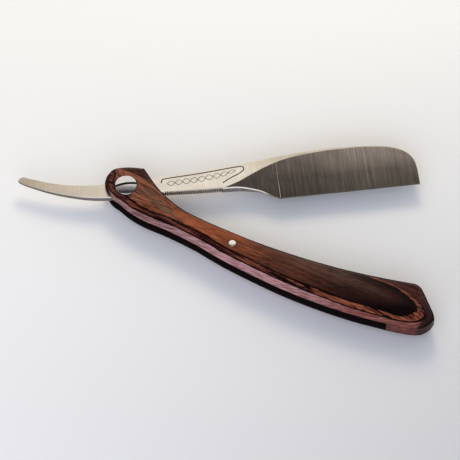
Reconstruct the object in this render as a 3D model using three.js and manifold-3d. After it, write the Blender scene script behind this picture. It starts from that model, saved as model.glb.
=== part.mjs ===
// Folding straight razor: a hollow-ground steel blade swings on a slotted barrel screw between two
// crowned laminated-wood scales, which a wedge joins at the tail and one thin pin joins in the middle.
//
// Frame, in millimetres: the pivot axis is X = Y = 0 and the surface the razor lies on is Z = 0.
// +X runs along the handle to its tail, +Y is the side on which the blade opens, +Z is up.

import * as THREE from 'three';
import { LoftGeometry } from 'three/addons/geometries/LoftGeometry.js';
import { mergeVertices } from 'three/addons/utils/BufferGeometryUtils.js';
import Module from 'manifold-3d';

const wasm = await Module();
wasm.setup();

// Driving dimensions
const OPEN_ANGLE = 33.15;          // degrees from the handle's chord to the blade's edge, as it lies
const MID_HEIGHT = 6.9;            // from the table to the middle of the blade's slot
const SLOT_HALF = 2.6;             // half the gap between the two scales
const SIDE_BAND = 0.45;            // upright strip of a scale's side before it slopes in
const WEDGE_START = 123.3;         // where the tail wedge begins
const WEDGE_GAP = 0.05;            // glue line on each face of the wedge
const PIN_AT = [52, -5.8];         // the middle pin's place
const PIN_RADIUS = 1.5;
const PIN_HOLE_RADIUS = 1.6;
const HEAD_RADIUS = 4.55;          // pivot screw's head, and the nut's
const HEAD_SEAT_RADIUS = 4.8;      // spot face that each head sits in
const HEAD_SEAT = 2.3;             // wood left under each head
const BARREL_RADIUS = 2;           // the nut's barrel, which is the blade's bearing
const PIVOT_HOLE_RADIUS = 2.1;
const THREAD_RADIUS = 1.5;         // screw shank
const THREAD_BORE_RADIUS = 1.6;    // inside of the barrel
const DOME_RISE = 1.2;             // height of the screw head's domed part
const SCREW_SLOT_ANGLE = 35;       // degrees from +X
const SCREW_SLOT_WIDTH = 1.1;
const SCREW_SLOT_DEPTH = 1.3;      // deep enough to run out of the dome on both sides
const SCREW_REACH = 3;             // the screw's shank ends this far below the middle of the slot
const SCREW_TIP_BREAK = 0.3;
const NUT_ROUNDING = 0.6;          // bevel round the nut's outer face
const NUT_FLOOR_DROP = 0.2;        // floor of the nut's bore, below its seat
const BARREL_SHORT = 0.3;          // the barrel stops this far under the screw's head
const PIN_PROUD = 0.2;             // the middle pin's rounded end over the crown
const WASHER_RADIUS = 3.4;
const FACE_GAP = 0.1;              // running gap on each face of a thrust washer
const TANG_HALF = 1.5;             // half the tang's thickness at the pivot
const SPINE_HALF = 2.15;           // half the blade's thickness at its spine
const EDGE_HALF = 0.15;            // half the thickness left at the cutting edge
const EDGE_Y = -11;                // cutting edge, below the pivot in the blade's own frame
const HEEL_X = 62.8;
const TOE_X = 122;
const JIMP_FIRST = 16;             // grip notches under the shank
const JIMP_LAST = 39.4;
const JIMP_PITCH = 0.72;
const JIMP_DEPTH = 0.4;
const BELOW = -10;                 // heights that a through cut starts and ends at, clear of the part
const ABOVE = 30;

// Half thickness of the blade's flat part, from the tail to the shoulder: [x, half thickness]
const FLAT_HALF = [[-44.5, 0.9], [-30, 1.2], [-10, TANG_HALF], [6, TANG_HALF], [40, 1.85], [64, SPINE_HALF]];
// How far a scale's side slopes in, and how high its crown stands over the slot face: [x, size]
const SLOPE = [[-10, 1.1], [12, 1.8], [35, 2.1], [60, 2.3], [90, 2.2], [110, 1.9], [124, 1.5], [140, 1.4]];
const RISE = [[-10, 3.1], [5, 3.3], [30, 3.5], [60, 3.8], [95, 4.3], [115, 4.2], [130, 3.9], [140, 3.6]];
// Distance in from the handle's edge at which the crown is at its full height: [x, distance]
const REACH = [[-10, 8.4], [3, 8.4], [14, 7], [25, 5.9], [45, 6.4], [62, 7.2], [80, 8.3], [100, 9.3], [122, 10.2]];

// Handle outline in three stretches. In each, the near edge and the far edge run from head to tail.
const HEAD_END = [-9.9, 1.6];
const HEAD_NEAR = [HEAD_END, [-9, -2], [-6.4, -5], [-2.8, -7.2], [1.2, -8.1]];
const HEAD_FAR = [HEAD_END, [-9.1, 5.4], [-6.9, 7.5], [-3.3, 9.6], [2.3, 11.7]];
const BODY_NEAR = [[1.2, -8.1], [6.7, -9.7], [14, -10.6], [25, -10.5], [38, -11.3], [50, -12.9], [64, -13.9],
  [80, -14.4], [95, -13.8], [110, -12.3], [124, -9.9]];
const BODY_FAR = [[2.3, 11.7], [9.8, 7], [16.1, 3.9], [24.4, 1.4], [34, 0.5], [48, 0.4], [62, 0.8], [79, 2.3],
  [96, 4.7], [112, 8], [126.3, 11.6]];
const TAIL_NEAR = [[124, -9.9], [130, -8.5], [134.6, -7], [137.4, -5.2], [139.2, -2.2], [139.8, 0.6]];
const TAIL_FAR = [[126.3, 11.6], [127.7, 11.5], [129.9, 10.5], [134.4, 6.3], [138.2, 2.6], [139.8, 0.6]];

// Blade outline in its own frame: +X to the point, +Y to the spine, pivot at 0, 0
const SPINE_LINE = [[-44.4, 10.6], [-42.6, 11.9], [-39.4, 10.7], [-31.3, 7.6], [-23.1, 5.4], [-14.8, 4.3],
  [-4, 3.9], [11.2, 4.6], [27.2, 5.3], [44.2, 6.5], [61.4, 8.4], [78.5, 9.7], [91, 10], [104, 9.2],
  [112.3, 7.9], [118, 5.4], [121.2, 1.4], [122.3, -4.6]];
const BELLY_LINE = [[-44.4, 10.2], [-43, 9], [-39.7, 7.1], [-31.6, 3.2], [-23.5, 0.3], [-15.4, -1.8],
  [-7.1, -2.8], [5, -3.1], [15.8, -3.3], [30, -4], [41, -4.3], [48, -4.8], [55.2, -6.8], [59.2, -9],
  [HEEL_X, EDGE_Y]];

const STEEL = new THREE.MeshStandardMaterial({ color: 0xc9c3b6, roughness: 0.32, metalness: 1 });
const WOOD = new THREE.MeshStandardMaterial({ color: 0x5a2c20, roughness: 0.35, metalness: 0 });
const WEDGE_WOOD = new THREE.MeshStandardMaterial({ color: 0x7d4a44, roughness: 0.5, metalness: 0 });
const CHROME = new THREE.MeshStandardMaterial({ color: 0xd8d8d8, roughness: 0.12, metalness: 1 });
const NICKEL = new THREE.MeshStandardMaterial({ color: 0xd5d0c6, roughness: 0.3, metalness: 1 });
const BRASS = new THREE.MeshStandardMaterial({ color: 0xb5913f, roughness: 0.35, metalness: 1 });

const curve = (points) => new THREE.SplineCurve(points.map(([x, y]) => new THREE.Vector2(x, y)));

// Reads a value from a list of [x, value] pairs, straight between them.
function along(pairs, x) {
  const last = pairs.length - 1;
  const next = pairs.findIndex(([at]) => at >= x);
  if (next === 0) return pairs[0][1];
  if (next < 0) return pairs[last][1];
  const [x0, v0] = pairs[next - 1];
  const [x1, v1] = pairs[next];
  return v0 + ((v1 - v0) * (x - x0)) / (x1 - x0);
}

// A closed three.js geometry as a manifold solid, with its collapsed triangles left out.
function solidOf(geometry) {
  const bare = new THREE.BufferGeometry();
  bare.setAttribute('position', geometry.getAttribute('position'));
  if (geometry.index) bare.setIndex(geometry.index);
  const merged = mergeVertices(bare, 1e-4);
  const index = merged.index.array;
  const kept = [];
  for (let i = 0; i < index.length; i += 3) {
    const [a, b, c] = index.slice(i, i + 3);
    if (a !== b && b !== c && c !== a) kept.push(a, b, c);
  }
  const mesh = new wasm.Mesh({
    numProp: 3,
    vertProperties: new Float32Array(merged.getAttribute('position').array),
    triVerts: new Uint32Array(kept),
  });
  return new wasm.Manifold(mesh);
}

function geometryOf(solid) {
  const mesh = solid.getMesh();
  const geometry = new THREE.BufferGeometry();
  geometry.setAttribute('position', new THREE.BufferAttribute(new Float32Array(mesh.vertProperties), 3));
  geometry.setIndex(new THREE.BufferAttribute(new Uint32Array(mesh.triVerts), 1));
  geometry.computeVertexNormals();
  return geometry;
}

function cut(geometry, tools) {
  return geometryOf(tools.reduce((solid, tool) => solid.subtract(solidOf(tool)), solidOf(geometry)));
}

function rod(radius, low, high, [x, y] = [0, 0], sides = 40) {
  const geometry = new THREE.CylinderGeometry(radius, radius, high - low, sides);
  return geometry.rotateX(Math.PI / 2).translate(x, y, (low + high) / 2);
}

// A turned piece: the profile is [radius, height] pairs, from the axis round to the axis.
function turned(profile, sides = 48) {
  const points = profile.map(([radius, height]) => new THREE.Vector2(radius, height));
  return new THREE.LatheGeometry(points, sides).rotateX(Math.PI / 2);
}

function named(name, geometry, material) {
  const mesh = new THREE.Mesh(geometry, material);
  mesh.name = name;
  return mesh;
}

// Handle outline

const STRETCHES = [
  { near: curve(HEAD_NEAR), far: curve(HEAD_FAR), steps: 9 },
  { near: curve(BODY_NEAR), far: curve(BODY_FAR), steps: 26 },
  { near: curve(TAIL_NEAR), far: curve(TAIL_FAR), steps: 11 },
];

// Pairs of facing points on the near and far edges, from the head to the tail.
function ribs() {
  const pairs = [];
  for (const { near, far, steps } of STRETCHES) {
    for (let i = pairs.length ? 1 : 0; i <= steps; i += 1) {
      pairs.push([near.getPointAt(i / steps), far.getPointAt(i / steps)]);
    }
  }
  return pairs;
}

const RIBS = ribs();
const OUTLINE = [...RIBS.map(([near]) => near), ...RIBS.slice(1, -1).map(([, far]) => far).reverse()];

// The handle's four edges, each a run of outline points.
const FAR = RIBS.map(([, far]) => far);
const HEAD_RIBS = STRETCHES[0].steps;
const TAIL_RIBS = STRETCHES[2].steps;
const EDGES = [RIBS.map(([near]) => near), FAR.slice(0, HEAD_RIBS + 1), FAR.slice(HEAD_RIBS, -TAIL_RIBS),
  FAR.slice(-TAIL_RIBS - 1)];

function distanceTo(edge, point) {
  let best = Infinity;
  const nearest = new THREE.Vector3();
  const at = new THREE.Vector3(point.x, point.y, 0);
  for (let i = 1; i < edge.length; i += 1) {
    const start = new THREE.Vector3(edge[i - 1].x, edge[i - 1].y, 0);
    const side = new THREE.Line3(start, new THREE.Vector3(edge[i].x, edge[i].y, 0));
    best = Math.min(best, side.closestPointToPoint(at, true, nearest).distanceTo(at));
  }
  return best;
}

// Height of a scale's outer surface over its slot face: a sloped side, then a crown that rolls down to
// every edge.
function scaleHeight(point) {
  const insets = EDGES.map((edge) => distanceTo(edge, point));
  const slope = along(SLOPE, point.x);
  const roll = along(REACH, point.x) - slope;
  let crown = along(RISE, point.x) - SIDE_BAND - slope;
  for (const inset of insets) {
    crown *= 1 - (1 - THREE.MathUtils.clamp((inset - slope) / roll, 0, 1)) ** 2;
  }
  return SIDE_BAND + Math.min(...insets, slope) + crown;
}

// One cross-section of a scale, between a near and a far point. side is +1 for the upper scale.
function scaleSection([near, far], side) {
  const halfWidth = near.distanceTo(far) / 2;
  const slope = Math.min(along(SLOPE, near.x), halfWidth * 0.5);
  const insets = [0, slope * 0.5, slope, slope + (halfWidth - slope) * 0.3, slope + (halfWidth - slope) * 0.65];
  const across = [...insets, halfWidth, ...insets.map((inset) => 2 * halfWidth - inset).reverse()];
  const place = (point, height) => new THREE.Vector3(point.x, point.y, MID_HEIGHT + side * (SLOT_HALF + height));
  const outer = across.map((inset) => {
    const point = near.clone().lerp(far, halfWidth ? inset / (2 * halfWidth) : 0);
    return place(point, scaleHeight(point));
  });
  const ring = [place(near, 0), place(far, 0), ...outer.reverse()];
  return side > 0 ? ring : ring.reverse();
}

function scale(side) {
  const body = new LoftGeometry(RIBS.map((rib) => scaleSection(rib, side)));
  const seat = MID_HEIGHT + side * (SLOT_HALF + HEAD_SEAT);
  const spotFace = side > 0 ? rod(HEAD_SEAT_RADIUS, seat, ABOVE) : rod(HEAD_SEAT_RADIUS, BELOW, seat);
  const pinHole = rod(PIN_HOLE_RADIUS, BELOW, ABOVE, PIN_AT, 24);
  return cut(body, [rod(PIVOT_HOLE_RADIUS, BELOW, ABOVE), spotFace, pinHole]);
}

// The wedge fills the slot from WEDGE_START to the tail and follows the handle's outline.
function tailWedge() {
  const shape = new THREE.Shape(OUTLINE);
  const height = 2 * (SLOT_HALF - WEDGE_GAP);
  const filler = new THREE.ExtrudeGeometry(shape, { depth: height, bevelEnabled: false });
  filler.translate(0, 0, MID_HEIGHT - height / 2);
  const opening = new THREE.BoxGeometry(200, 100, 50).translate(WEDGE_START - 100, 0, MID_HEIGHT);
  return cut(filler, [opening]);
}

// Fasteners

function pivotScrew() {
  const seat = MID_HEIGHT + SLOT_HALF + HEAD_SEAT + WEDGE_GAP;
  const crown = 2 * MID_HEIGHT;
  const domeRadius = (HEAD_RADIUS ** 2 + DOME_RISE ** 2) / (2 * DOME_RISE);
  const domeTurn = Math.asin(HEAD_RADIUS / domeRadius);
  const tip = MID_HEIGHT - SCREW_REACH;
  const profile = [[0, tip], [THREAD_RADIUS - SCREW_TIP_BREAK, tip], [THREAD_RADIUS, tip + SCREW_TIP_BREAK],
    [THREAD_RADIUS, seat], [HEAD_RADIUS, seat]];
  const steps = 6;
  for (let i = 0; i < steps; i += 1) {
    const turn = domeTurn * (1 - i / steps);
    profile.push([domeRadius * Math.sin(turn), crown - domeRadius * (1 - Math.cos(turn))]);
  }
  profile.push([0, crown]);
  const slot = new THREE.BoxGeometry(4 * HEAD_RADIUS, SCREW_SLOT_WIDTH, 2 * SCREW_SLOT_DEPTH);
  slot.rotateZ(THREE.MathUtils.degToRad(SCREW_SLOT_ANGLE)).translate(0, 0, crown);
  return cut(turned(profile), [slot]);
}

function pivotNut() {
  const seat = MID_HEIGHT - SLOT_HALF - HEAD_SEAT - WEDGE_GAP;
  const top = MID_HEIGHT + SLOT_HALF + HEAD_SEAT - BARREL_SHORT;
  const floor = seat - NUT_FLOOR_DROP;
  return turned([[0, 0], [HEAD_RADIUS - NUT_ROUNDING, 0], [HEAD_RADIUS, NUT_ROUNDING], [HEAD_RADIUS, seat],
    [BARREL_RADIUS, seat], [BARREL_RADIUS, top], [THREAD_BORE_RADIUS, top], [THREAD_BORE_RADIUS, floor],
    [0, floor]]);
}

function thrustWasher(side) {
  const low = Math.min(side * (TANG_HALF + FACE_GAP), side * (SLOT_HALF - FACE_GAP));
  const high = low + SLOT_HALF - TANG_HALF - 2 * FACE_GAP;
  const ring = [[PIVOT_HOLE_RADIUS, low], [WASHER_RADIUS, low], [WASHER_RADIUS, high], [PIVOT_HOLE_RADIUS, high],
    [PIVOT_HOLE_RADIUS, low]];
  return turned(ring).translate(0, 0, MID_HEIGHT);
}

function midPin() {
  const rise = along(RISE, PIN_AT[0]);
  const crown = SLOT_HALF + rise + PIN_PROUD;
  const half = [[PIN_RADIUS, crown - 0.3], [PIN_RADIUS * 0.8, crown - 0.1], [0, crown]];
  const mirrored = half.map(([radius, height]) => [radius, -height]).reverse();
  return turned([...mirrored, ...half], 24).translate(PIN_AT[0], PIN_AT[1], MID_HEIGHT);
}

// Blade

const readOff = (points) => points.map(({ x, y }) => [x, y]);
const SPINE = readOff(curve(SPINE_LINE).getPoints(240));
const BELLY = [...readOff(curve(BELLY_LINE).getPoints(240)), [TOE_X + 1, EDGE_Y]];
const GRIND_START = 38;            // where the flat shank begins to turn into the hollow grind
const SHARE_OF_SPINE = 0.88;       // the hollow reaches this far up the blade's width
const HOLLOW_POWER = 1.7;          // how strongly the grind is hollowed
const EDGE_BREAK = { share: 0.06, cut: 0.3 };    // bevels along the shank's two edges
const SPINE_BREAK = { share: 0.07, cut: 0.35 };  // bevel along the spine over the grind

// Half thickness at a place across the blade: 0 at the belly or edge, 1 at the spine.
function bladeHalf(x, share) {
  const flat = along(FLAT_HALF, x);
  const ground = THREE.MathUtils.smoothstep(x, GRIND_START, HEEL_X + 2);
  const hollow = EDGE_HALF + (SPINE_HALF - EDGE_HALF) * Math.min(share / SHARE_OF_SPINE, 1) ** HOLLOW_POWER;
  const edgeBreak = 1 - EDGE_BREAK.cut * Math.max(0, 1 - Math.min(share, 1 - share) / EDGE_BREAK.share);
  const hollowBreak = 1 - SPINE_BREAK.cut * Math.max(0, 1 - (1 - share) / SPINE_BREAK.share);
  return THREE.MathUtils.lerp(flat * edgeBreak, hollow * hollowBreak, ground);
}

function bladeSection(x) {
  const low = along(BELLY, x);
  const high = along(SPINE, x);
  const shares = [0, 0.06, 0.25, 0.45, 0.62, 0.76, 0.88, 0.94, 1];
  const point = (share, side) => new THREE.Vector3(x, low + (high - low) * share, side * bladeHalf(x, share));
  return [...shares.map((share) => point(share, -1)), ...shares.map((share) => point(share, 1)).reverse()];
}

function bladeStations() {
  const stations = [-44.4, -44, -43.3, -42.4];
  for (let x = -40; x < 56; x += 4) stations.push(x);
  stations.push(56, 58, 60, 61.5, HEEL_X, 65);
  for (let x = 70; x < 112; x += 6) stations.push(x);
  return [...stations, 112, 115, 117, 118.5, 119.8, 120.8, 121.5, TOE_X];
}

// V-shaped grip notches across the underside of the shank.
function jimps() {
  const notches = [];
  for (let x = JIMP_FIRST; x <= JIMP_LAST; x += JIMP_PITCH) {
    const notch = new THREE.CylinderGeometry(JIMP_DEPTH, JIMP_DEPTH, 12, 4);
    notches.push(notch.rotateX(Math.PI / 2).translate(x, along(BELLY, x), 0));
  }
  return notches;
}

function blade() {
  const body = new LoftGeometry(bladeStations().map(bladeSection), { capStart: true, capEnd: true });
  return cut(body, [rod(PIVOT_HOLE_RADIUS, BELOW, ABOVE, [0, 0], 48), ...jimps()]);
}

const razor = new THREE.Group();
const handle = new THREE.Group();
handle.add(
  named('lower_scale', scale(-1), WOOD),
  named('upper_scale', scale(1), WOOD),
  named('tail_wedge', tailWedge(), WEDGE_WOOD),
  named('pivot_nut', pivotNut(), CHROME),
  named('pivot_screw', pivotScrew(), CHROME),
  named('lower_thrust_washer', thrustWasher(-1), BRASS),
  named('upper_thrust_washer', thrustWasher(1), BRASS),
  named('mid_pin', midPin(), NICKEL),
);

const swing = new THREE.Group();
swing.position.z = MID_HEIGHT;
swing.rotation.z = THREE.MathUtils.degToRad(OPEN_ANGLE);
swing.add(named('blade', blade(), STEEL));

razor.add(handle, swing);

export default razor;
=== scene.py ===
"""Folding straight razor, open on a pale table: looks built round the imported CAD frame.

Lengths are millimetres until a mesh is made, where SCALE turns them into metres. Everything ends up in
the row frame; the blade is drawn in its own, +X to the point and +Y to the spine, and then turned.
"""
import math

import bmesh
import bpy
import numpy as np
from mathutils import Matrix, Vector


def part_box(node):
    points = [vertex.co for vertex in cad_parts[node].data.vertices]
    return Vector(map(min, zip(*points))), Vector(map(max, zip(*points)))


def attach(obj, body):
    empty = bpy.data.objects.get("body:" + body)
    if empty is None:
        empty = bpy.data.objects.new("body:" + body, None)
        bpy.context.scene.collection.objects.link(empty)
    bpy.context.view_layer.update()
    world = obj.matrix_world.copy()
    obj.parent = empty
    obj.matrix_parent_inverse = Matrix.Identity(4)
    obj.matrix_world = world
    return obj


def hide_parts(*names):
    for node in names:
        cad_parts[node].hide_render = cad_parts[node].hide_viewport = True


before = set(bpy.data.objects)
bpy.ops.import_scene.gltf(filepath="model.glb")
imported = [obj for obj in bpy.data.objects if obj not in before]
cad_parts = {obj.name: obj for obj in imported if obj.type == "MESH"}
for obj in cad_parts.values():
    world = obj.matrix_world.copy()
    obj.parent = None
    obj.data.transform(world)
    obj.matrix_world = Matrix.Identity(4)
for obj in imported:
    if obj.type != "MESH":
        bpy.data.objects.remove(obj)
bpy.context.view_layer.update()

SCALE = 0.001
# A cut closes up edges shorter than SLIVER. Cutters reach PAST_ALL from the slot's middle, beyond every part.
SLIVER = 0.0005
PAST_ALL = 30
# Degrees between two faces from which their edge is shaded as sharp
SHARP, BLADE_SHARP = 35, 9


def corners_mm(node):
    """Lowest and highest corner of a CAD node, in millimetres."""
    return tuple(np.array(corner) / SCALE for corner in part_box(node))


# Places taken from the frame
UPPER_LOW = corners_mm("upper_scale")[0]
LOWER_HIGH = corners_mm("lower_scale")[1]
SCREW_LOW, SCREW_HIGH = corners_mm("pivot_screw")
NUT_HIGH = corners_mm("pivot_nut")[1]
PIN_LOW, PIN_HIGH = corners_mm("mid_pin")
WEDGE_LOW, WEDGE_HIGH = corners_mm("tail_wedge")
MID = (UPPER_LOW[2] + LOWER_HIGH[2]) / 2
SLOT_HALF = (UPPER_LOW[2] - LOWER_HIGH[2]) / 2
PIN_AT = (PIN_LOW + PIN_HIGH)[:2] / 2
PIN_RADIUS = (PIN_HIGH - PIN_LOW)[0] / 2
HEAD_RADIUS = (SCREW_HIGH - SCREW_LOW)[0] / 2

# Handle
SIDE_BAND = 0.45
SIDE_ROUNDING = 0.25
RIM_BREAK = 0.12
HEAD_SEAT = 2.3
HEAD_SEAT_RADIUS = 4.75
PIVOT_HOLE_RADIUS = 2.1
CLEARANCE = 0.05
# Along the handle: how far in the side slopes, how high the crown stands and how far in it gets there
SLOPE = [[-10, 1.1], [12, 1.8], [35, 2.1], [60, 2.3], [90, 2.2], [110, 1.9], [124, 1.5], [140, 1.4]]
RISE = [[-10, 3.1], [5, 3.3], [30, 3.5], [60, 3.8], [95, 4.3], [115, 4.2], [130, 3.9], [140, 3.6]]
REACH = [[-10, 8.2], [3, 8.2], [14, 6.8], [25, 5.7], [45, 6.2], [62, 6.9], [80, 8], [100, 9], [122, 10]]

HEAD_END = [-9.9, 1.6]
HEAD_NEAR = [HEAD_END, [-9, -2], [-6.4, -5], [-2.8, -7.2], [1.2, -8.1]]
HEAD_FAR = [HEAD_END, [-9.1, 5.4], [-6.9, 7.5], [-3.3, 9.6], [2.3, 11.7]]
BODY_NEAR = [[1.2, -8.1], [6.7, -9.7], [14, -10.6], [25, -10.5], [38, -11.3], [50, -12.9], [64, -13.9],
             [80, -14.4], [95, -13.8], [110, -12.3], [124, -9.9]]
BODY_FAR = [[2.3, 11.7], [9.8, 7], [16.1, 3.9], [24.4, 1.4], [34, 0.5], [48, 0.4], [62, 0.8], [79, 2.3],
            [96, 4.7], [112, 8], [126.3, 11.6]]
TAIL_NEAR = [[124, -9.9], [130, -8.5], [134.6, -7], [137.4, -5.2], [139.2, -2.2], [139.8, 0.6]]
TAIL_FAR = [[126.3, 11.6], [127.7, 11.5], [129.9, 10.5], [134.4, 6.3], [138.2, 2.6], [139.8, 0.6]]
# The near and far edges of each stretch, and how many steps it has
STRETCHES = [(HEAD_NEAR, HEAD_FAR, 36), (BODY_NEAR, BODY_FAR, 190), (TAIL_NEAR, TAIL_FAR, 48)]

# Fasteners
DOME_RISE = 1.2
SCREW_SLOT_WIDTH, SCREW_SLOT_DEPTH, SCREW_SLOT_ANGLE = 1.1, 1.3, 35
SHANK_RADIUS, SHANK_BREAK = 1.5, 0.3
HEAD_FOOT_BREAK, HEAD_RIM_IN, HEAD_RIM_DOWN = 0.12, 0.15, 0.08
NUT_ROUNDING, NUT_ROUNDING_MIDDLE = 0.6, (0.25, 0.15)
NUT_FLOOR, BARREL_RADIUS, BARREL_BORE, BARREL_BREAK = 1.75, 2, 1.6, 0.1
PIN_DOME = 0.3

# Blade
OPEN_ANGLE = 33.15
TANG_HALF = 1.5
SPINE_HALF = 2.1
EDGE_HALF, THINNEST_HALF = 0.15, 0.05
EDGE_Y = -11
HEEL_X = 62.8
SHOULDER_X = 63.7
RIDGE = (63.25, 63.33, 63.47, 63.55)
RIDGE_RISE = 0.05
TAIL_X, TAIL_TIP_LENGTH = -44.4, 4
TOE_X, TOE_LENGTH = 122.1, 12
LOWER_BREAK, UPPER_BREAK, BREAK_SHARE = 0.42, 0.38, 0.2
GROUND_ROWS, FLAT_ROWS = 22, 8
JIMP_FIRST, JIMP_LAST, JIMP_PITCH, JIMP_DEPTH = 16, 39.4, 0.72, 0.42
FLAT_HALF = [[-44.5, 0.9], [-30, 1.2], [-10, TANG_HALF], [6, TANG_HALF], [40, 1.8], [64, SPINE_HALF]]
SPINE_LINE = [[-44.4, 10.6], [-42.6, 11.9], [-39.4, 10.7], [-31.3, 7.6], [-23.1, 5.4], [-14.8, 4.3],
              [-4, 3.9], [11.2, 4.6], [27.2, 5.3], [44.2, 6.5], [61.4, 8.4], [78.5, 9.7], [91, 10],
              [104, 9.2], [112.3, 7.9], [118, 5.4], [121.2, 1.4], [122.3, -4.6]]
BELLY_LINE = [[-44.4, 10.2], [-43, 9], [-39.7, 7.1], [-31.6, 3.2], [-23.5, 0.3], [-15.4, -1.8],
              [-7.1, -2.8], [5, -3.1], [15.8, -3.3], [30, -4], [41, -4.3], [48, -4.8], [55.2, -6.8],
              [59.2, -9], [HEEL_X, EDGE_Y]]
PANEL_PATH = [[14.6, 1.6], [15.4, 3.1], [17.5, 3.5], [31.3, 4.2], [46, 5.4], [49.2, 5.3], [49.6, 3.8],
              [47.6, 2.2], [44, 0.6], [40.2, -1.5]]
# Width of a groove's cutter and depth of the groove
PANEL_GROOVE, ROPE_GROOVE = (0.95, 0.2), (0.5, 0.14)
ROPE_ENDS, ROPE_TURNS = (17.2, 46.2), 9
ROPE_LINE = [[17, 0.9], [30, 1.3], [40, 2.4], [46, 3.8]]
ROPE_SWING = [[17, 1], [26, 1.25], [38, 1.2], [46, 0.6]]
GRIND_LINE = [[40, -4.1], [47.5, -1.4], [52, 0.9], [56.5, 3], [60.9, 4.8], [65.3, 6.3], [69.7, 7.3],
              [74, 7.9], [80, 8.5], [86, 8.9]]

# Camera's direction, counted from the row's -Y toward +X, and its distance
VIEW_AZIMUTH, VIEW_ELEVATION, VIEW_DISTANCE = 26.25, 60, 1000
AIM = (46.8, 2.6, MID)
LENS = 189.4
# The floor, in metres
FLOOR_HALF, FLOOR_DROP = 2.5, 0.0001


# Material numbers, beside 0 for a piece's first material
SLOT_SHADE_FACE = 1
SHADED_GROUND_FACE, SHADED_BELLY_FACE = 1, 2


# Curves and small maths

def spline(points, steps):
    """Points along the smooth curve through a list of points, evenly spread by length."""
    p = np.array(points, float)
    p = np.vstack([2 * p[0] - p[1], p, 2 * p[-1] - p[-2]])
    t = np.linspace(0, 1, 24, endpoint=False)[:, None]
    dense = []
    for a, b, c, d in zip(p, p[1:], p[2:], p[3:]):
        v0, v1 = (c - a) / 2, (d - b) / 2
        dense.append((2 * b - 2 * c + v0 + v1) * t**3 + (3 * c - 3 * b - 2 * v0 - v1) * t**2 + v0 * t + b)
    dense = np.vstack(dense + [p[-2:-1]])
    length = np.concatenate([[0], np.cumsum(np.linalg.norm(np.diff(dense, axis=0), axis=1))])
    at = np.linspace(0, length[-1], steps + 1)
    return np.stack([np.interp(at, length, dense[:, k]) for k in range(p.shape[1])], axis=1)


def along(pairs, x):
    """Value at x from a list of [x, value] pairs, straight between them."""
    table = np.array(pairs, float)
    return np.interp(x, table[:, 0], table[:, 1])


def smoothstep(x, low, high):
    t = np.clip((np.asarray(x, float) - low) / (high - low), 0, 1)
    return t * t * (3 - 2 * t)


def soft_least(a, b, soft):
    """The smaller of two values, rounded over where they meet."""
    return 0.5 * (a + b - np.sqrt((a - b) ** 2 + soft**2))


# Meshes

def make_piece(name, vertices, faces, material, slot, nodes, sharp=SHARP, face_slots=None, others=()):
    """A mesh object from points in millimetres that stands for CAD nodes. face_slots numbers each face's
    material: 0 is the first, and the others follow."""
    mesh = bpy.data.meshes.new(name)
    mesh.from_pydata((np.asarray(vertices) * SCALE).tolist(), [], faces)
    for each in (material, *others):
        mesh.materials.append(each)
    if face_slots is not None:
        mesh.polygons.foreach_set("material_index", face_slots)
    mesh.validate()
    face_outwards(mesh)
    mesh.shade_smooth()
    mesh.set_sharp_from_angle(angle=math.radians(sharp))
    piece = bpy.data.objects.new(name, mesh)
    bpy.context.scene.collection.objects.link(piece)
    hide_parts(*nodes)
    return piece


def loft(rings):
    """Vertices and faces of a closed skin over rings of equal length, with flat caps on both ends."""
    count, size = rings.shape[:2]
    first = np.arange(count - 1)[:, None] * size
    j = np.arange(size)[None, :]
    following = (j + 1) % size
    quads = np.stack([first + j, first + following, first + size + following, first + size + j], axis=-1)
    faces = quads.reshape(-1, 4).tolist()
    faces.append(list(range(size))[::-1])
    faces.append(list(range((count - 1) * size, count * size)))
    return rings.reshape(-1, 3), faces


def turned(profile, sides=96):
    """Vertices and faces of a turned solid. The profile runs from the axis round to the axis."""
    profile = np.array(profile, float)
    inner = profile[1:-1]
    angle = np.linspace(0, 2 * math.pi, sides, endpoint=False)
    circle = np.stack([np.cos(angle), np.sin(angle)], axis=1)
    rings = [np.column_stack([radius * circle, np.full(sides, height)]) for radius, height in inner]
    vertices = np.vstack([[[0, 0, profile[0, 1]]], *rings, [[0, 0, profile[-1, 1]]]])
    faces = []
    last = len(vertices) - 1
    for j in range(sides):
        k = (j + 1) % sides
        faces.append([0, 1 + k, 1 + j])
        for i in range(len(inner) - 1):
            a, b = 1 + i * sides, 1 + (i + 1) * sides
            faces.append([a + j, a + k, b + k, b + j])
        top = 1 + (len(inner) - 1) * sides
        faces.append([top + j, top + k, last])
    return vertices, faces


def face_outwards(mesh):
    work = bmesh.new()
    work.from_mesh(mesh)
    bmesh.ops.recalc_face_normals(work, faces=work.faces)
    work.to_mesh(mesh)
    work.free()


def drop_slivers(mesh):
    """Closes up the faces without area that a cut leaves."""
    work = bmesh.new()
    work.from_mesh(mesh)
    bmesh.ops.dissolve_degenerate(work, edges=work.edges, dist=SLIVER * SCALE)
    work.to_mesh(mesh)
    work.free()


def cutter(vertices, faces, material=None):
    """A throwaway object, in millimetres, to cut with. Its material, if any, is left on the cut faces."""
    mesh = bpy.data.meshes.new("cutter")
    mesh.from_pydata((np.asarray(vertices) * SCALE).tolist(), [], faces)
    if material:
        mesh.materials.append(material)
    face_outwards(mesh)
    tool = bpy.data.objects.new("cutter", mesh)
    bpy.context.scene.collection.objects.link(tool)
    return tool


def rod(radius, at=(0, 0), sides=96):
    """A round cutter along Z, longer than any part is thick."""
    low, high = MID - PAST_ALL, MID + PAST_ALL
    vertices, faces = turned([[0, low], [radius, low], [radius, high], [0, high]], sides)
    return cutter(vertices + [at[0], at[1], 0], faces)


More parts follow.
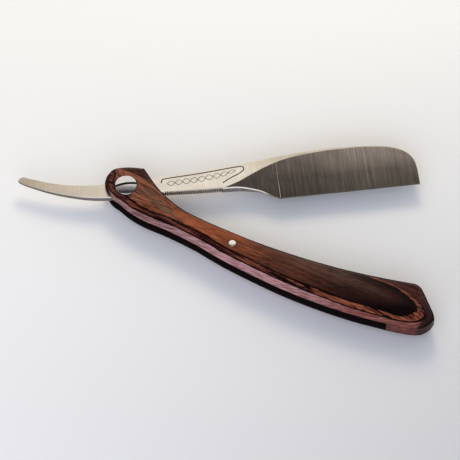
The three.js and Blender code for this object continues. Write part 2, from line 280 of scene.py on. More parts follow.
def bar(width, floor, angle):
    """A box cutter for a screw's slot, across the pivot axis and turned about it by an angle in degrees."""
    c, s = math.cos(math.radians(angle)), math.sin(math.radians(angle))
    flat = np.array([(-1, -1), (1, -1), (1, 1), (-1, 1)]) * [PAST_ALL, width / 2]
    ring = [(c * x - s * y, s * x + c * y) for x, y in flat]
    levels = (floor, MID + PAST_ALL)
    # The slot's cut faces take painted shade
    return cutter(*loft(np.array([[(x, y, z) for x, y in ring] for z in levels])), SCREW_SLOT_SHADE)


def cut(piece, tools, sharp=SHARP):
    """Cuts the tools out of a piece and removes them."""
    for tool in tools:
        change = piece.modifiers.new("cut", "BOOLEAN")
        change.operation = "DIFFERENCE"
        change.solver = "EXACT"
        change.object = tool
        change.material_mode = "TRANSFER" if tool.data.materials else "INDEX"
    bpy.context.view_layer.update()
    graph = bpy.context.evaluated_depsgraph_get()
    mesh = bpy.data.meshes.new_from_object(piece.evaluated_get(graph))
    drop_slivers(mesh)
    piece.modifiers.clear()
    piece.data = mesh
    mesh.set_sharp_from_angle(angle=math.radians(sharp))
    for tool in tools:
        bpy.data.objects.remove(tool)


# Materials

def colour_ramp(tree, stops):
    """stops are (place, colour) pairs; a colour is linear red, green, blue or one grey value."""
    made = tree.nodes.new("ShaderNodeValToRGB")
    band = made.color_ramp
    while len(band.elements) < len(stops):
        band.elements.new(1)
    for element, (place, colour) in zip(band.elements, stops):
        element.position = place
        element.color = (*colour, 1) if isinstance(colour, tuple) else (colour, colour, colour, 1)
    return made


class Graph:
    """Short names for building one material's node tree."""

    def __init__(self, name):
        self.material = bpy.data.materials.new(name)
        self.material.use_nodes = True
        self.tree = self.material.node_tree
        self.shader = self.tree.nodes["Principled BSDF"]

    def link(self, source, target):
        self.tree.links.new(source, target)

    def feed(self, socket, value):
        if isinstance(value, bpy.types.NodeSocket):
            self.link(value, socket)
        elif isinstance(value, (tuple, list)):
            short = len(value) == 3 and len(socket.default_value) == 4
            socket.default_value = (*value, 1) if short else value
        else:
            socket.default_value = value

    def node(self, kind, **settings):
        made = self.tree.nodes.new(kind)
        for key, value in settings.items():
            setattr(made, key, value)
        return made

    def math(self, operation, a, b=0.0, c=0.0):
        made = self.node("ShaderNodeMath", operation=operation)
        for socket, value in zip(made.inputs, (a, b, c)):
            self.feed(socket, value)
        return made.outputs[0]

    def coords(self, stretch=(1, 1, 1), angle=0.0, tilt=0.0):
        """Object coordinates in millimetres, stretched along axes tilted about Y and turned about Z."""
        place = self.node("ShaderNodeTexCoord").outputs["Object"]
        mapping = self.node("ShaderNodeMapping", vector_type="TEXTURE")
        mapping.inputs["Rotation"].default_value = (0, math.radians(tilt), math.radians(angle))
        mapping.inputs["Scale"].default_value = [SCALE / s for s in stretch]
        self.link(place, mapping.inputs["Vector"])
        return mapping.outputs[0]

    def axis(self, which, angle=0.0):
        split = self.node("ShaderNodeSeparateXYZ")
        self.link(self.coords(angle=angle), split.inputs[0])
        return split.outputs[which]

    def attribute(self, name):
        return self.node("ShaderNodeAttribute", attribute_name=name).outputs["Fac"]

    def centred(self, factor):
        return self.math("SUBTRACT", factor, 0.5)

    def total(self, *terms):
        """Sum of (weight, socket) pairs."""
        result = 0.0
        for weight, socket in terms:
            result = self.math("MULTIPLY_ADD", socket, weight, result)
        return result

    def step(self, value, low, high):
        """0 at low, 1 at high, straight between them; low may be the larger."""
        made = self.node("ShaderNodeMapRange")
        for socket, each in zip(made.inputs, (value, low, high)):
            self.feed(socket, each)
        return made.outputs[0]

    def noise(self, stretch, detail=4, roughness=0.55, distortion=0.0, angle=0.0, tilt=0.0):
        made = self.node("ShaderNodeTexNoise")
        self.link(self.coords(stretch, angle, tilt), made.inputs["Vector"])
        made.inputs["Scale"].default_value = 1
        made.inputs["Detail"].default_value = detail
        made.inputs["Roughness"].default_value = roughness
        made.inputs["Distortion"].default_value = distortion
        return made.outputs["Fac"]

    def ramp(self, factor, stops):
        made = colour_ramp(self.tree, stops)
        self.link(factor, made.inputs[0])
        return made.outputs[0]

    def mix(self, factor, a, b, blend="MIX"):
        made = self.node("ShaderNodeMix", data_type="RGBA", blend_type=blend)
        self.feed(made.inputs[0], factor)
        self.feed(made.inputs[6], a)
        self.feed(made.inputs[7], b)
        return made.outputs[2]

    def times(self, colour, tint):
        return self.mix(1.0, colour, tint, "MULTIPLY")

    def tinted(self, factor, colour, tint):
        """The colour, multiplied by the tint where the factor is 1."""
        return self.mix(factor, colour, self.times(colour, tint))

    def product(self, first, second, *rest):
        result = self.math("MULTIPLY", first, second)
        return self.product(result, *rest) if rest else result

    def bump(self, height, depth_mm):
        made = self.node("ShaderNodeBump")
        made.inputs["Strength"].default_value = 1
        made.inputs["Distance"].default_value = depth_mm * SCALE
        self.link(height, made.inputs["Height"])
        self.link(made.outputs[0], self.shader.inputs["Normal"])

    def finish(self, **sockets):
        """Sets or links the shader's sockets, given as words joined by underscores."""
        for key, value in sockets.items():
            self.feed(self.shader.inputs[key.replace("_", " ")], value)
        return self.material


GLUE = (0.004, 0.0015, 0.0013)


def crown_plies(g, over, over_side, x, x_frayed):
    """The crown's glue lines, its strip of maroon to orange ply, and its heart, darker toward the tail. A
    painted sheen lightens the crown's far half from its middle to the tail.
    """
    maroon, orange = (0.075, 0.017, 0.0125), (0.2, 0.057, 0.029)
    amber, brown, umber = (0.245, 0.066, 0.027), (0.064, 0.0205, 0.0118), (0.02, 0.0065, 0.0045)
    ember = g.noise((0.07, 1.3, 0.6), detail=4, roughness=0.65, distortion=0.5, angle=-4)
    strip = g.mix(g.step(ember, 0.52, 0.6), maroon, (0.15, 0.045, 0.026))
    strip = g.mix(g.step(x_frayed, 67, 84), strip, orange)
    strip = g.mix(g.step(ember, 0.48, 0.44), strip, GLUE)
    heart = g.mix(g.step(x_frayed, 10, 30), (0.2, 0.068, 0.036), amber)
    heart = g.mix(g.step(x_frayed, 49, 66), heart, brown)
    heart = g.mix(g.step(x_frayed, 82, 98), heart, umber)
    # Painted sheen: a lighter grey-brown over the crown's far half, from its middle toward the tail
    painted_sheen = g.product(g.step(x, 58, 80), g.step(over, 6.5, 11), 0.4)
    heart = g.mix(painted_sheen, heart, (0.11, 0.058, 0.042))
    heart = g.mix(g.product(g.step(x, 98, 118), g.step(over, 6.5, 3.8)), heart, GLUE)
    crown = g.mix(g.step(over, 2.9, 2.6), heart, GLUE)
    crown = g.mix(g.step(over, 2.05, 1.9), crown, strip)
    return g.mix(g.step(over_side, 0.5, 0.38), crown, GLUE)


def head_marks(g, crown, over, x, x_frayed, sway, fray):
    """The crown with dark streaks and a grey-green blot near the head."""
    streak = g.noise((0.045, 0.42, 0.3), detail=4, roughness=0.65, distortion=0.5, angle=-12)
    streak = g.ramp(streak, [(0.5, 0), (0.54, 0.8), (0.58, 0.8), (0.62, 0)])
    streak = g.product(streak, g.step(x, 44, 26), g.step(over, 1.5, 2.6))
    crown = g.mix(streak, crown, (0.035, 0.017, 0.011))
    blot = g.math("ABSOLUTE", g.math("SUBTRACT", g.axis("Y", -24), 4.8))
    blot = g.step(g.total((1, blot), (6, fray), (4, sway)), 2.5, 0.4)
    blot = g.product(blot, g.step(x_frayed, 4, 9), g.step(x_frayed, 27, 15), 0.6)
    return g.mix(blot, crown, (0.075, 0.058, 0.038))


def side_plies(g, near, x, fray):
    """Rose ply with a slanting hatch on the near side, and dark plies on the others."""
    hatch = g.step(g.noise((0.22, 0.25, 3.6), detail=2, roughness=0.5, tilt=-7), 0.4, 0.6)
    rose = g.mix(hatch, (0.15, 0.066, 0.062), (0.33, 0.185, 0.18))
    rose = g.mix(g.step(x, 20, 50), rose, g.mix(hatch, (0.25, 0.115, 0.112), (0.48, 0.265, 0.26)))
    rose = g.mix(g.step(x, 76, 108), rose, g.mix(hatch, (0.11, 0.032, 0.026), (0.26, 0.093, 0.077)))
    outer = g.mix(g.step(fray, -0.08, 0.06), (0.022, 0.0065, 0.0055), (0.075, 0.023, 0.017))
    outer = g.mix(g.step(x, 131, 136), outer, (0.026, 0.01, 0.0085))
    return g.mix(near, outer, rose)


def ply_wood(name):
    """Resin-laminated wood. The crown cuts the plies in bands, which follow the mesh's own attributes."""
    g = Graph(name)
    ply, near, inset = g.attribute("ply_place"), g.attribute("near_side"), g.attribute("rim_inset")
    x = g.axis("X")
    sway = g.centred(g.noise((0.035, 0.2, 0.1), detail=2))
    fray = g.centred(g.noise((0.12, 1.5, 1.5), detail=4, angle=8))
    over = g.total((1, ply), (1.6, sway), (1.5, fray))
    over_side = g.total((1, ply), (0.4, sway), (0.35, fray))
    x_frayed = g.total((1, x), (35, sway), (40, fray))

    crown = crown_plies(g, over, over_side, x, x_frayed)
    crown = head_marks(g, crown, over, x, x_frayed, sway, fray)
    colour = g.mix(g.step(over_side, -0.08, 0.04), side_plies(g, near, x, fray), crown)
    dark_rim = g.product(g.step(inset, 1.0, 0.4), g.math("SUBTRACT", 1, near))
    colour = g.mix(dark_rim, colour, (0.012, 0.0045, 0.0038))

    # Grain and pores, on the crown only
    on_crown = g.step(over_side, -0.08, 0.3)
    grain = g.noise((0.05, 1.6, 1), detail=6, roughness=0.7)
    colour = g.tinted(on_crown, colour, g.ramp(grain, [(0.3, 0.3), (0.47, 0.95), (0.7, 1.5)]))
    pores = g.noise((0.2, 2.6, 2.6), detail=4, roughness=0.75, angle=4)
    colour = g.tinted(on_crown, colour, g.ramp(pores, [(0.36, 0.2), (0.46, 1.0), (0.7, 1.4)]))
    g.bump(pores, 0.03)
    rough = g.math("MAXIMUM", g.ramp(pores, [(0.3, 0.5), (0.7, 0.36)]), g.step(inset, 1.6, 0.4))
    return g.finish(Base_Color=colour, Roughness=rough, Specular_IOR_Level=0.04, Coat_Weight=0.04,
                    Coat_Roughness=0.2)


def painted_slot_shade(name):
    """The scales' inner faces: near-black painted shade for the dark inside the slot between the scales."""
    g = Graph(name)
    fibre = g.noise((0.15, 3, 3), detail=4)
    colour = g.ramp(fibre, [(0.3, (0.005, 0.003, 0.003)), (0.7, (0.014, 0.007, 0.007))])
    g.bump(fibre, 0.03)
    return g.finish(Base_Color=colour, Roughness=0.7, Specular_IOR_Level=0.1)


def rose_wood(name):
    """The wedge: rose plies with fine slanting pores and a satin surface."""
    g = Graph(name)
    layer = g.noise((0.3, 0.4, 2.2), detail=4, tilt=-20)
    pores = g.noise((0.8, 3, 6), detail=3, roughness=0.7, distortion=0.4, tilt=-20)
    colour = g.ramp(layer, [(0.35, (0.06, 0.0145, 0.0115)), (0.5, (0.12, 0.03, 0.024)),
                            (0.68, (0.21, 0.07, 0.056))])
    colour = g.mix(g.step(g.axis("X"), 134, 136), colour, (0.035, 0.012, 0.0105))
    colour = g.times(colour, g.ramp(pores, [(0.35, 0.55), (0.6, 1.15)]))
    g.bump(pores, 0.04)
    return g.finish(Base_Color=colour, Roughness=0.5, Specular_IOR_Level=0.1, Coat_Weight=0.06,
                    Coat_Roughness=0.25)


def brushed_steel(name, dark, light):
    """Satin steel, brushed across the blade's length, warmer and darker toward its tail and past its heel."""
    g = Graph(name)
    lines = g.noise((3.5, 0.1, 0.5), detail=4, roughness=0.6, angle=OPEN_ANGLE)
    cloud = g.noise((0.1, 0.25, 0.2), detail=3, angle=OPEN_ANGLE)
    colour = g.mix(g.step(lines, 0.3, 0.7), dark, light)
    colour = g.times(colour, g.ramp(cloud, [(0.3, 0.9), (0.7, 1.06)]))
    along_blade = g.axis("X", OPEN_ANGLE)
    colour = g.tinted(g.step(along_blade, 8, -46), colour, (0.6, 0.55, 0.47))
    colour = g.tinted(g.step(along_blade, 48, 66), colour, (0.76, 0.73, 0.68))
    g.bump(lines, 0.003)
    return g.finish(Base_Color=colour, Roughness=g.ramp(lines, [(0.25, 0.38), (0.75, 0.3)]), Metallic=1.0)


def shaded_ground_steel(name):
    """Hollow-ground faces with fine wheel lines square to the edge, in a darker copy of the steel: painted
    shade for the dim room they mirror, painted lighter toward the spine and darker toward the heel, with
    painted glints.
    """
    g = Graph(name)
    lines = g.noise((3.2, 0.04, 0.2), detail=5, roughness=0.75, angle=OPEN_ANGLE)
    glints = g.noise((1.6, 0.06, 0.2), detail=3, roughness=0.6, angle=OPEN_ANGLE)
    cloud = g.noise((0.06, 0.12, 0.2), detail=2)
    colour = g.ramp(lines, [(0.3, (0.06, 0.048, 0.04)), (0.55, (0.105, 0.089, 0.076)),
                            (0.72, (0.17, 0.148, 0.128))])
    colour = g.times(colour, g.ramp(cloud, [(0.3, 0.85), (0.7, 1.15)]))
    across = g.axis("Y", OPEN_ANGLE)
    # Painted reflection: darker toward the heel and lighter toward the spine
    colour = g.tinted(g.step(g.axis("X", OPEN_ANGLE), 94, 76), colour, (0.66, 0.66, 0.66))
    colour = g.tinted(g.step(across, -9.5, -2), colour, (1.6, 1.6, 1.6))
    colour = g.tinted(g.step(across, -2, 9), colour, (3.2, 3.15, 3.1))
    glint = g.product(g.step(glints, 0.6, 0.72), g.step(across, -8, 2), 0.3)
    colour = g.mix(glint, colour, (0.5, 0.47, 0.44))
    g.bump(lines, 0.006)
    return g.finish(Base_Color=colour, Roughness=g.ramp(lines, [(0.25, 0.42), (0.75, 0.28)]), Metallic=1.0)


def painted_groove_shade(name):
    """Painted shade on the walls and floors of the engraved lines and the screw's slot, dark with a mottled
    tone.
    """
    g = Graph(name)
    shade_tone = g.noise((1.2, 1.2, 1.2), detail=4)
    colour = g.ramp(shade_tone, [(0.3, (0.025, 0.02, 0.016)), (0.7, (0.09, 0.078, 0.066))])
    return g.finish(Base_Color=colour, Roughness=0.55, Metallic=0.6)


def chrome(name):
    g = Graph(name)
    haze = g.noise((0.9, 0.9, 0.9), detail=4)
    wear = g.noise((3, 3, 3), detail=5, roughness=0.7)
    colour = g.ramp(haze, [(0.3, (0.58, 0.555, 0.535)), (0.7, (0.74, 0.72, 0.7))])
    return g.finish(Base_Color=colour, Roughness=g.ramp(wear, [(0.4, 0.06), (0.75, 0.16)]), Metallic=1.0)


def nickel(name):
    g = Graph(name)
    wear = g.noise((2.5, 2.5, 2.5), detail=4)
    colour = g.ramp(wear, [(0.3, (0.8, 0.76, 0.64)), (0.7, (0.95, 0.92, 0.82))])
    return g.finish(Base_Color=colour, Roughness=g.ramp(wear, [(0.3, 0.2), (0.7, 0.35)]), Metallic=1.0)


def brass(name):
    g = Graph(name)
    tarnish = g.noise((0.8, 0.8, 0.8), detail=5)
    lines = g.noise((6, 6, 0.5), detail=2)
    colour = g.ramp(tarnish, [(0.3, (0.42, 0.27, 0.09)), (0.7, (0.7, 0.5, 0.2))])
    return g.finish(Base_Color=colour, Roughness=g.ramp(lines, [(0.3, 0.3), (0.7, 0.45)]), Metallic=1.0)


def table_top(name):
    """Pale matt board, with painted shade a little darker toward its near side and darker still toward its
    near right corner.
    """
    g = Graph(name)
    tone = g.noise((0.002, 0.002, 0.002), detail=2)
    colour = g.ramp(tone, [(0.3, (0.875, 0.87, 0.855)), (0.7, (0.895, 0.89, 0.875))])
    # Painted shade, toward the near side and more toward the near right corner
    shade_toward_near = g.step(g.axis("Y", VIEW_AZIMUTH), 90, -130)
    shade_toward_right = g.step(g.axis("X", VIEW_AZIMUTH), -50, 140)
    colour = g.mix(shade_toward_near, colour, (0.838, 0.832, 0.843))
    colour = g.mix(g.product(shade_toward_near, shade_toward_right), colour, (0.62, 0.618, 0.628))
    return g.finish(Base_Color=colour, Roughness=0.6, Specular_IOR_Level=0.2)


WOOD = ply_wood("laminated_wood")
SLOT_SHADE = painted_slot_shade("slot_painted_shade")
WEDGE_WOOD = rose_wood("rose_wood")
FLATS = brushed_steel("brushed_steel", (0.81, 0.73, 0.62), (0.93, 0.85, 0.75))
# A darker copy of the brushed steel: painted shade on the belly, the jimps' notches and the edge, which
# mirror the shaded table
SHADED_BELLY = brushed_steel("shaded_belly_steel", (0.22, 0.2, 0.185), (0.4, 0.365, 0.33))
SHADED_GROUND = shaded_ground_steel("shaded_ground_steel")
GROOVE_SHADE = painted_groove_shade("engraved_painted_shade")
SCREW_SLOT_SHADE = painted_groove_shade("screw_slot_painted_shade")
CHROME = chrome("chrome")
NICKEL = nickel("nickel_silver")
BRASS = brass("brass")


# Handle

def handle_ribs():
    """Facing points on the near and far edges, and the inward normal of the outline at each."""
    near, far = [], []
    for near_points, far_points, steps in STRETCHES:
        skip = 1 if near else 0
        near.extend(spline(near_points, steps)[skip:])
        far.extend(spline(far_points, steps)[skip:])
    near, far = np.array(near), np.array(far)

    def inward(edge, turn):
        slope = np.gradient(edge, axis=0)
        slope /= np.linalg.norm(slope, axis=1)[:, None]
        return turn * np.stack([-slope[:, 1], slope[:, 0]], axis=1)

    near_in, far_in = inward(near, 1), inward(far, -1)
    for end, normal in ((0, (1, 0)), (-1, (-1, 0))):
        near_in[end] = far_in[end] = normal
    return near, far, near_in, far_in


NEAR, FAR, NEAR_IN, FAR_IN = handle_ribs()
HEAD_RIBS = STRETCHES[0][2]
TAIL_RIBS = STRETCHES[2][2]
EDGES = {
    "head": FAR[:HEAD_RIBS + 1],
    "far": FAR[HEAD_RIBS:-TAIL_RIBS],
    "tail": FAR[-TAIL_RIBS - 1:],
    "near": NEAR}


def distance_to_line(points, line):
    """Distance of each point from a line of points."""
    best = np.full(len(points), np.inf)
    for a, b in zip(line, line[1:]):
        side = b - a
        share = np.clip(((points - a) @ side) / max(side @ side, 1e-12), 0, 1)
        gap = points - (a + share[:, None] * side)
        best = np.minimum(best, np.hypot(gap[:, 0], gap[:, 1]))
    return best


def edge_gaps(points):
    return {name: distance_to_line(points, line) for name, line in EDGES.items()}


def scale_height(points):
    """Height of a scale's outer surface over its slot face: a sloped side that rolls into a crown."""
    gaps = edge_gaps(points)
    inset = np.min(list(gaps.values()), axis=0)
    slope, reach = along(SLOPE, points[:, 0]), along(REACH, points[:, 0])
    crown = np.ones(len(points))
    for gap in gaps.values():
        up = np.clip((gap - slope) / (reach - slope), 0, 1)
        crown *= 1 - (1 - up) ** 2
    side = soft_least(inset, slope, SIDE_ROUNDING) - soft_least(0, slope, SIDE_ROUNDING)
    return SIDE_BAND + side + (along(RISE, points[:, 0]) - SIDE_BAND - slope) * crown


def scale_rings(side):
    """Closed cross-sections of a scale from head to tail. side is +1 for the upper scale."""
    across = (1 - np.cos(np.linspace(0, math.pi, 57))) / 2
    grid = NEAR[:, None] + across[None, :, None] * (FAR - NEAR)[:, None]
    height = scale_height(grid.reshape(-1, 2)).reshape(grid.shape[:2])
    height[:, 0] = height[:, -1] = SIDE_BAND
    count = len(NEAR)

    def row(points, level):
        return np.column_stack([points, np.full(count, level)])[:, None]

    face = [row(NEAR, RIM_BREAK), row(NEAR + NEAR_IN * RIM_BREAK, 0), row(FAR + FAR_IN * RIM_BREAK, 0),
            row(FAR, RIM_BREAK)]
    outer = np.concatenate([grid, height[:, :, None]], axis=2)[:, ::-1]
    rings = np.concatenate([*face, outer], axis=1)
    rings[:, :, 2] = MID + side * (SLOT_HALF + rings[:, :, 2])
    return rings if side > 0 else rings[:, ::-1]


# The crown's ring of bare ply at the tail is half an ellipse
RING_AT, RING_HALF = (112, -1.5), (23.7, 7.8)
RING_CLEAR_OF_HEAD = 4


def ring_place(x, y, gaps):
    """Place among the plies as set by the far edge, the head and the tail's elliptical ring."""
    across = y - RING_AT[1]
    across = np.where(across < 0, across * smoothstep(x, RING_AT[0], RING_AT[0] + 10), across)
    part = np.hypot(np.maximum(x - RING_AT[0], 0) / RING_HALF[0], across / RING_HALF[1])
    place = 0.45 + (9 + 4 * smoothstep(y, -4, 3)) * (1 - part) + 3 * (1 - smoothstep(x, 98, 110))
    return np.minimum(place, gaps["head"] + RING_CLEAR_OF_HEAD)


def mark_plies(piece, side):
    """Gives each vertex its place among the plies, in millimetres: ply_place counts from the top of the rose
    ply over the crown and rim_inset from the outline. near_side is 1 where the rose ply shows; on the lower
    scale it stays 0 on the band next to the slot, which is left dark as painted shade. The slot's faces take
    a near-black painted shade."""
    mesh = piece.data
    co = np.empty(len(mesh.vertices) * 3)
    mesh.vertices.foreach_get("co", co)
    co = co.reshape(-1, 3) / SCALE
    x, height = co[:, 0], side * (co[:, 2] - MID) - SLOT_HALF
    gaps = edge_gaps(co[:, :2])
    slope = along(SLOPE, x)
    over_near = gaps["near"] - slope * 0.9
    over = soft_least(over_near, ring_place(x, co[:, 1], gaps), 0.4)
    other_gap = np.min([gaps["far"], gaps["tail"], gaps["head"]], axis=0)
    near_side = smoothstep(other_gap - gaps["near"], -0.2, 0.6) * smoothstep(x, -7, -2)
    near_side *= 1 - smoothstep(x, 134.5, 136.5)
    # On the lower scale the band next to the slot gets no rose ply and keeps the dark outer plies: painted
    # shade under the slot
    if side < 0:
        near_side *= height > SIDE_BAND + 0.1
    inset = np.min(list(gaps.values()), axis=0)
    for name, values in (("ply_place", over), ("near_side", near_side), ("rim_inset", inset)):
        mesh.attributes.new(name, "FLOAT", "POINT").data.foreach_set("value", values.astype(np.float32))
    # The slot's faces and their rim break take the near-black painted shade
    for face in mesh.polygons:
        level = side * (face.center.z / SCALE - MID) - SLOT_HALF
        if level < RIM_BREAK:
            face.material_index = SLOT_SHADE_FACE


def make_scale(name, side):
    vertices, faces = loft(scale_rings(side)[1:-1])
    piece = make_piece(name + "_wood", vertices, faces, WOOD, "scale_wood", [name], others=(SLOT_SHADE,))
    seat = MID + side * (SLOT_HALF + HEAD_SEAT)
    within, beyond = MID - side * PAST_ALL, MID + side * PAST_ALL
    bore = turned([[0, within], [PIVOT_HOLE_RADIUS, within], [PIVOT_HOLE_RADIUS, seat],
                   [HEAD_SEAT_RADIUS, seat], [HEAD_SEAT_RADIUS, beyond], [0, beyond]])
    cut(piece, [cutter(*bore), rod(PIN_RADIUS + CLEARANCE, PIN_AT, 48)])
    mark_plies(piece, side)
    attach(piece, "handle")
    return piece


def make_wedge():
    """Fills the tail of the slot, flush with both scales' edges."""
    start = WEDGE_LOW[0]
    tail = NEAR[:, 0] >= start
    near = np.vstack([[start, np.interp(start, NEAR[:, 0], NEAR[:, 1])], NEAR[tail]])
    back = FAR[:, 0] >= start
    far = np.vstack([[start, np.interp(start, FAR[:, 0], FAR[:, 1])], FAR[back][:-1]])
    outline = np.vstack([near, far[::-1]])
    rings = np.array([[(x, y, z) for x, y in outline] for z in (WEDGE_LOW[2], WEDGE_HIGH[2])])
    piece = make_piece("tail_wedge_wood", *loft(rings), WEDGE_WOOD, "wedge_wood", ["tail_wedge"])
    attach(piece, "handle")
    return piece


# Fasteners

def make_screw():
    seat = MID + SLOT_HALF + HEAD_SEAT + CLEARANCE
    crown, foot = SCREW_HIGH[2], SCREW_LOW[2]
    radius = (HEAD_RADIUS**2 + DOME_RISE**2) / (2 * DOME_RISE)
    full_turn = math.asin((HEAD_RADIUS - HEAD_RIM_IN) / radius)
    profile = [[0, foot], [SHANK_RADIUS - SHANK_BREAK, foot], [SHANK_RADIUS, foot + SHANK_BREAK],
               [SHANK_RADIUS, seat], [HEAD_RADIUS - HEAD_FOOT_BREAK, seat],
               [HEAD_RADIUS, seat + HEAD_FOOT_BREAK], [HEAD_RADIUS, crown - DOME_RISE - HEAD_RIM_DOWN]]
    for turn in full_turn * np.linspace(1, 0, 18)[:-1]:
        profile.append([radius * math.sin(turn), crown - radius * (1 - math.cos(turn))])
    profile.append([0, crown])
    piece = make_piece("pivot_screw_head", *turned(profile), CHROME, "screw_chrome", ["pivot_screw"])
    cut(piece, [bar(SCREW_SLOT_WIDTH, crown - SCREW_SLOT_DEPTH, SCREW_SLOT_ANGLE)])
    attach(piece, "handle")
    return piece


def make_nut():
    seat = MID - SLOT_HALF - HEAD_SEAT - CLEARANCE
    top = NUT_HIGH[2]
    inward, upward = NUT_ROUNDING_MIDDLE
    profile = [[0, 0], [HEAD_RADIUS - NUT_ROUNDING, 0], [HEAD_RADIUS - inward, upward],
               [HEAD_RADIUS, NUT_ROUNDING], [HEAD_RADIUS, seat], [BARREL_RADIUS, seat],
               [BARREL_RADIUS, top - BARREL_BREAK], [BARREL_RADIUS - BARREL_BREAK, top],
               [BARREL_BORE, top], [BARREL_BORE, NUT_FLOOR], [0, NUT_FLOOR]]
    piece = make_piece("pivot_nut_barrel", *turned(profile), CHROME, "screw_chrome", ["pivot_nut"])
    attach(piece, "handle")
    return piece


def make_pin():
    shoulder = (PIN_HIGH - PIN_LOW)[2] / 2 - PIN_DOME
    turns = np.linspace(0, math.pi / 2, 8)
    arc = [(PIN_RADIUS * math.cos(t), shoulder + PIN_DOME * math.sin(t)) for t in turns]
    profile = [(radius, -height) for radius, height in reversed(arc)] + arc
    vertices, faces = turned(profile, 48)
    vertices += [PIN_AT[0], PIN_AT[1], MID]
    piece = make_piece("mid_pin_rod", vertices, faces, NICKEL, "pin_nickel", ["mid_pin"])
    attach(piece, "handle")
    return piece


# Blade

def blade_stations():
    """Places along the blade, closer where its outline or its surface turns quickly."""
    jimp = np.arange(JIMP_FIRST - JIMP_PITCH / 2, JIMP_LAST + JIMP_PITCH, JIMP_PITCH / 6)
    tail_tip = TAIL_X + TAIL_TIP_LENGTH * (1 - np.cos(np.linspace(0, math.pi / 2, 14)))
    point = TOE_X - TOE_LENGTH * (1 - np.sin(np.linspace(0, math.pi / 2, 40)))
    return np.unique(np.concatenate([
        tail_tip, np.arange(-40, jimp[0], 1), jimp, np.arange(jimp[-1] + 0.2, HEEL_X, 0.5),
        [HEEL_X, *RIDGE, SHOULDER_X, 64.3], np.arange(65, point[0], 1), point]))


def half_flat(x):
    return along(FLAT_HALF, x)


def blade_outline(x):
    """Heights of the belly, with its jimps, and of the spine at places along the blade."""
    dense_spine, dense_belly = spline(SPINE_LINE, 600), spline(BELLY_LINE, 600)
    high = np.interp(x, dense_spine[:, 0], dense_spine[:, 1])
    low = np.interp(x, dense_belly[:, 0], dense_belly[:, 1], right=EDGE_Y)
    phase = np.abs(((x - JIMP_FIRST) / JIMP_PITCH + 0.5) % 1 - 0.5) * 2
    inside = (x > JIMP_FIRST - JIMP_PITCH / 2) & (x < JIMP_LAST + JIMP_PITCH / 2)
    return low + np.where(inside, JIMP_DEPTH * (1 - phase), 0), high


def half_at_belly(x):
    """Half the blade's thickness along its belly and, past the shoulder, along its edge."""
    flat = half_flat(x)
    base = flat + (EDGE_HALF - flat) * smoothstep(x, 43, SHOULDER_X)
    base = np.where(x >= SHOULDER_X, EDGE_HALF, base)
    return np.maximum(base, THINNEST_HALF)


def blade_rings():
    """Closed cross-sections of the blade from its tail to its point, each face column's material where the
    blade is ground, and the sections' places along it."""
    x = blade_stations()
    low, high = blade_outline(x)
    flat, base = half_flat(x), half_at_belly(x)
    reach = high - low
    lower_break = np.minimum(LOWER_BREAK, reach * BREAK_SHARE)
    upper_break = np.minimum(UPPER_BREAK, reach * BREAK_SHARE)
    foot = low + lower_break
    grind_line = np.interp(x, *np.array(GRIND_LINE).T, left=-99)
    top_of_hollow = np.maximum(grind_line, foot + reach * 0.02)
    grind = np.minimum(grind_line, high - upper_break - np.minimum(0.3, reach * 0.03))
    grind = np.maximum(grind, foot + reach * 0.02)

    share = np.linspace(0, 1, GROUND_ROWS)
    y_ground = foot[:, None] + share * (grind - foot)[:, None]
    deep = np.clip((y_ground - foot[:, None]) / (top_of_hollow - foot)[:, None], 0, 1)
    power = 1 + 0.75 * smoothstep(x, 41, 56)
    h_ground = base[:, None] + (flat - base)[:, None] * deep ** power[:, None]
    ridge = np.where((x > RIDGE[0]) & (x < RIDGE[-1]), RIDGE_RISE, 0)
    h_ground = h_ground + ridge[:, None] * np.clip((1 - deep) * 4, 0, 1)

    share = np.linspace(0, 1, FLAT_ROWS)[1:]
    y_flat = grind[:, None] + share * (high - upper_break - grind)[:, None]
    h_flat = np.repeat(h_ground[:, -1:], FLAT_ROWS - 1, axis=1)

    h_belly = np.maximum(base[:, None] - 0.36, base[:, None] * 0.35)
    turn = np.linspace(0, math.pi / 2, 5)[1:]
    y_spine = (high - upper_break)[:, None] + upper_break[:, None] * np.sin(turn)
    h_spine = h_ground[:, -1:] * (0.45 + 0.55 * np.cos(turn))
    y = np.concatenate([low[:, None], y_ground, y_flat, y_spine], axis=1)
    h = np.concatenate([h_belly, h_ground, h_flat, h_spine], axis=1)
    side = np.stack([np.repeat(x[:, None], y.shape[1], axis=1), y, h], axis=2)
    rings = np.concatenate([side * [1, 1, -1], side[:, ::-1]], axis=1)
    ground = np.zeros(rings.shape[1], int)
    ground[1:GROUND_ROWS] = SHADED_GROUND_FACE
    ground[-GROUND_ROWS - 1:-2] = SHADED_GROUND_FACE
    return rings, ground, x


def in_row_frame(points):
    """Points of the blade's own frame, turned to its open angle and lifted to the slot."""
    c, s = math.cos(math.radians(OPEN_ANGLE)), math.sin(math.radians(OPEN_ANGLE))
    return np.asarray(points) @ np.array([[c, s, 0], [-s, c, 0], [0, 0, 1]]) + [0, 0, MID]


def groove(path, width, depth, steps):
    """A V-shaped cutter along a smooth line on the shank's upper face."""
    line = spline(path, steps)
    slope = np.gradient(line, axis=0)
    slope /= np.linalg.norm(slope, axis=1)[:, None]
    normal = np.stack([-slope[:, 1], slope[:, 0]], axis=1)
    across = ((-width / 2, 0.2), (-0.02, -depth), (0.02, -depth), (width / 2, 0.2))
    rings = [[(px + nx * w, py + ny * w, half_flat(px) + z) for w, z in across]
             for (px, py), (nx, ny) in zip(line, normal)]
    vertices, faces = loft(np.array(rings))
    # The groove's faces take painted shade
    return cutter(in_row_frame(vertices), faces, GROOVE_SHADE)


